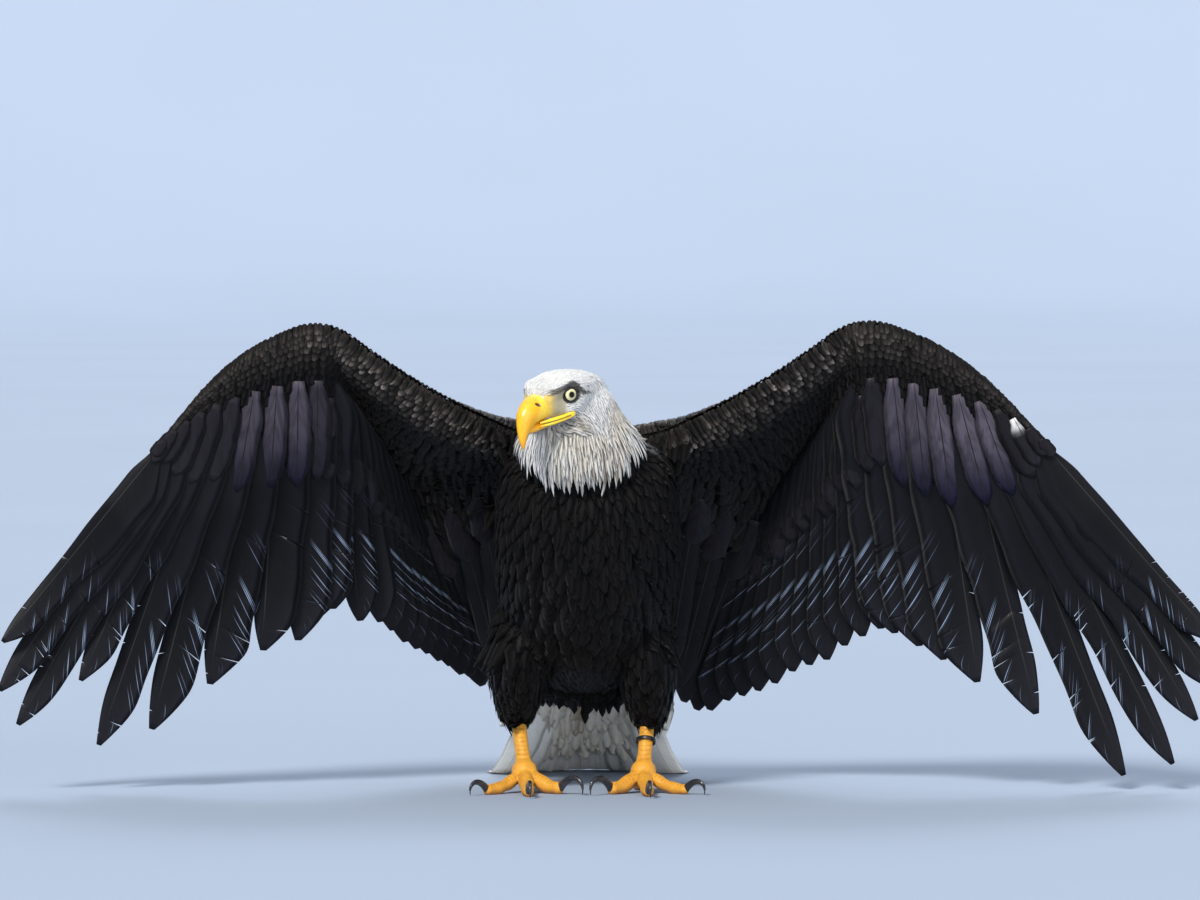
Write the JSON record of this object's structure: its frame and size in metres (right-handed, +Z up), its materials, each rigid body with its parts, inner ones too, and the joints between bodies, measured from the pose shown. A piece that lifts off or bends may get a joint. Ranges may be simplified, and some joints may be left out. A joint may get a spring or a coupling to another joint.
{
  "type": "bald eagle",
  "caption": "Adult bald eagle standing on the floor with its wings half spread and arched, its head turned to its right and its fanned tail laid behind; a dark ring on the left leg.",
  "frame": {"origin": "The centre of the whole bird's box in plan, on the floor that its toes and tail rest on.", "axes": "+X is to the bird's left, -Y is the way its body faces, and +Z is up."},
  "size_m": [1.4072, 0.5482, 0.5424],
  "materials": {
    "white_feathers": "soft matte feathers",
    "tail_feathers": "soft matte feathers",
    "dark_feathers": "matte feathers with brown edges",
    "flight_feathers": "slightly glossy quill feathers",
    "bill": "smooth horn, waxy at the base",
    "eye": "clear and glossy",
    "foot_skin": "scaly skin",
    "claw": "smooth dark horn",
    "leg_band": "dark, smooth"
  },
  "bodies": {
    "root": {"head": "white_feathers", "neck": "white_feathers", "trunk": "dark_feathers", "bill_upper": "bill", "bill_lower": "bill", "eye_left": "eye", "eye_right": "eye", "tail_coverts": "tail_feathers", "tail": "tail_feathers", "wing_arm_left": "dark_feathers", "wing_hand_left": "dark_feathers", "primaries_left": "flight_feathers", "secondaries_left": "flight_feathers", "thigh_left": "dark_feathers", "toe_inner_left": "foot_skin", "claw_inner_left": "claw", "toe_middle_left": "foot_skin", "claw_middle_left": "claw", "toe_outer_left": "foot_skin", "claw_outer_left": "claw", "toe_hallux_left": "foot_skin", "claw_hallux_left": "claw", "shank_left": "foot_skin", "wing_arm_right": "dark_feathers", "wing_hand_right": "dark_feathers", "primaries_right": "flight_feathers", "secondaries_right": "flight_feathers", "thigh_right": "dark_feathers", "toe_inner_right": "foot_skin", "claw_inner_right": "claw", "toe_middle_right": "foot_skin", "claw_middle_right": "claw", "toe_outer_right": "foot_skin", "claw_outer_right": "claw", "toe_hallux_right": "foot_skin", "claw_hallux_right": "claw", "shank_right": "foot_skin", "leg_band": "leg_band"}
  },
  "joints": []
}
